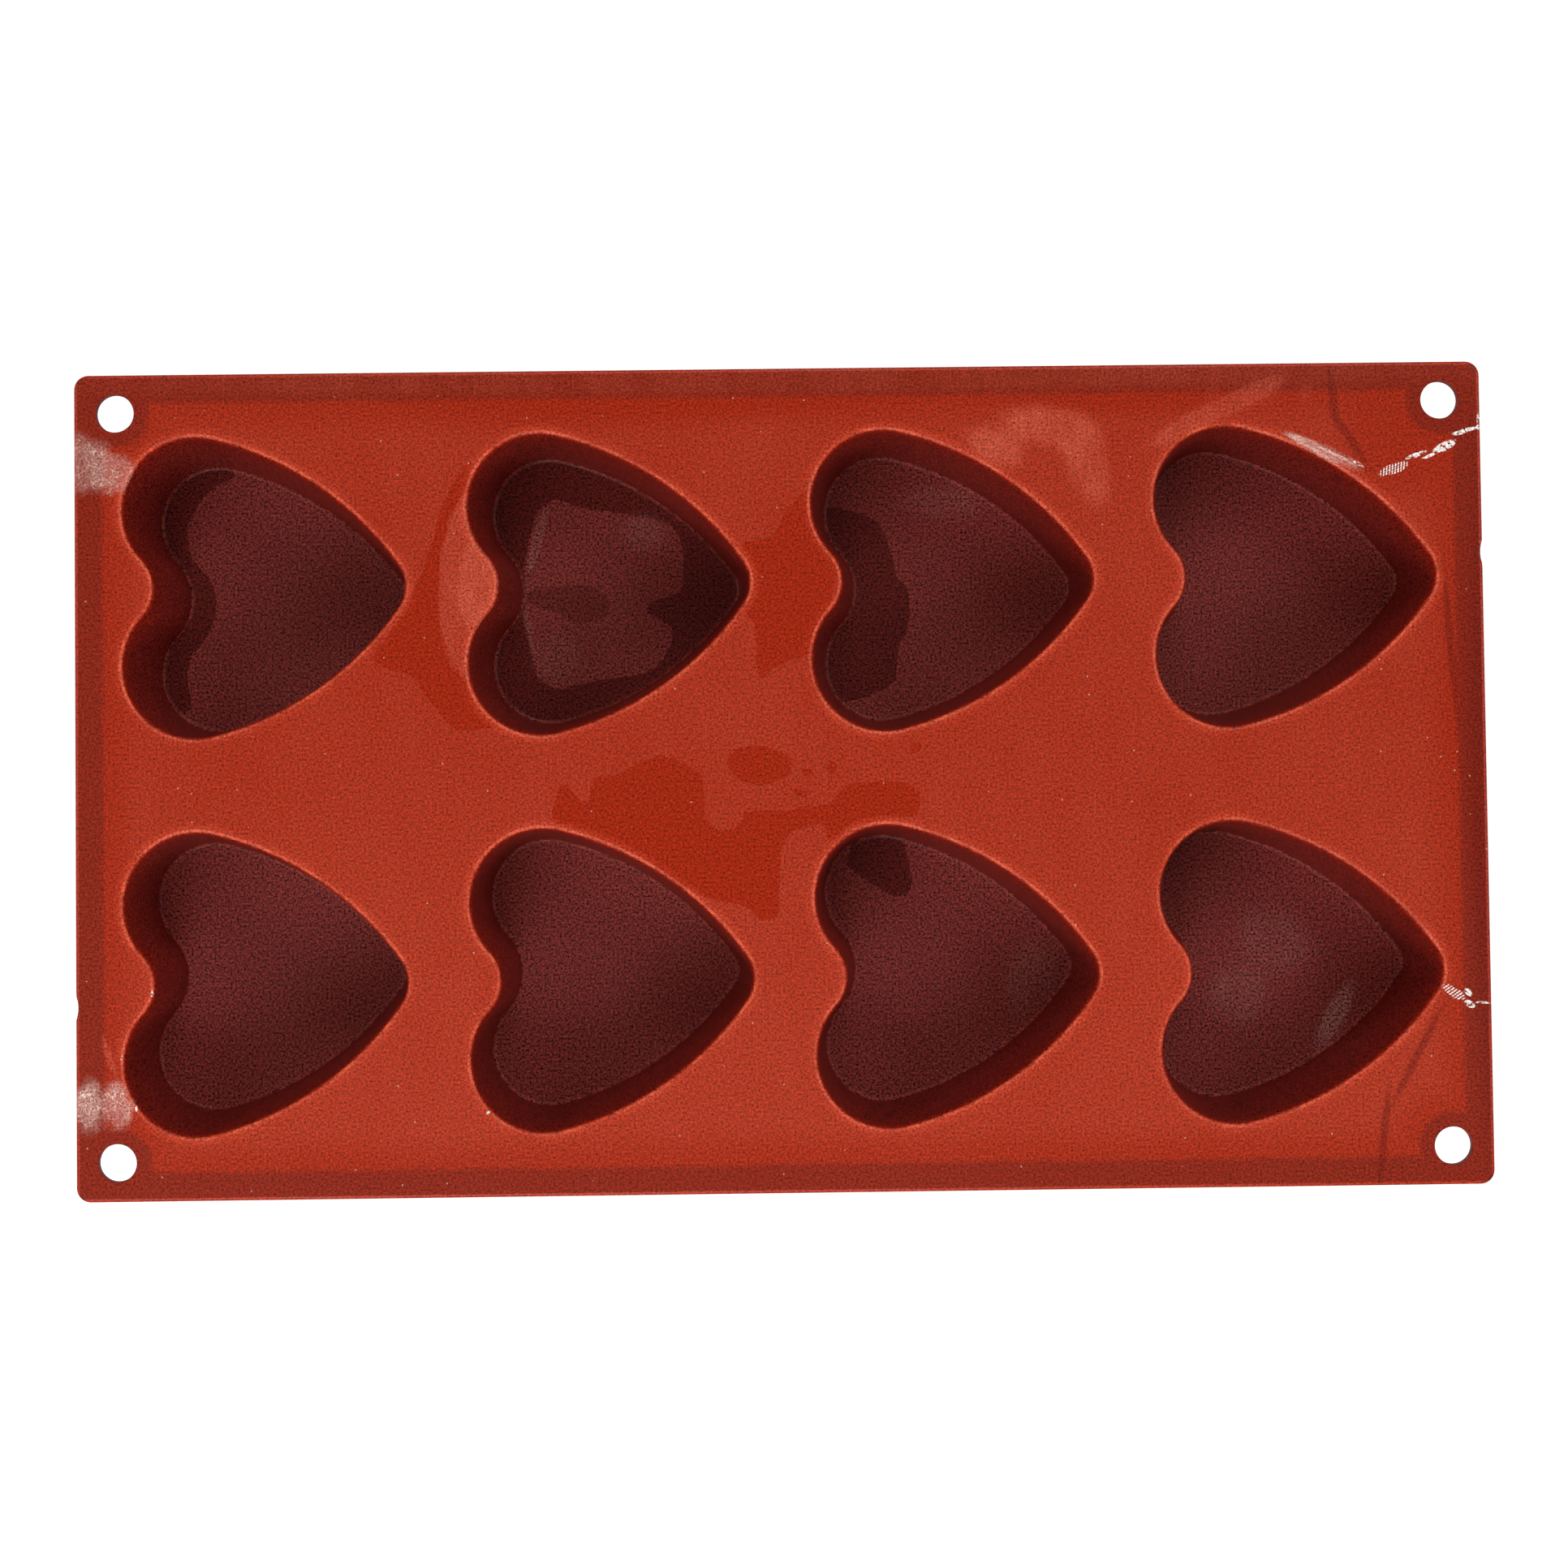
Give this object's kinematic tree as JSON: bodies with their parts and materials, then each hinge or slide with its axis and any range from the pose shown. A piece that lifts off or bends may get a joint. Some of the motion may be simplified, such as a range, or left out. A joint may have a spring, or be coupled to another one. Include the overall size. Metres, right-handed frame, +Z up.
{
  "type": "silicone heart mould",
  "caption": "Flexible baking mould with a thick-edged flat sheet, rows of deep heart-shaped cavities hanging below it and a round hole in each corner.",
  "frame": {"origin": "centre of the mould's footprint, on the plane the undersides of the cavities stand on", "axes": "+X along the sheet's long side, the way the hearts point; +Y across the sheet; +Z up, out of the cavities"},
  "size_m": [0.3, 0.175, 0.0365],
  "materials": {
    "silicone": "smooth brick-red silicone, softly glossy"
  },
  "bodies": {
    "root": {"mould": "silicone"}
  },
  "joints": []
}
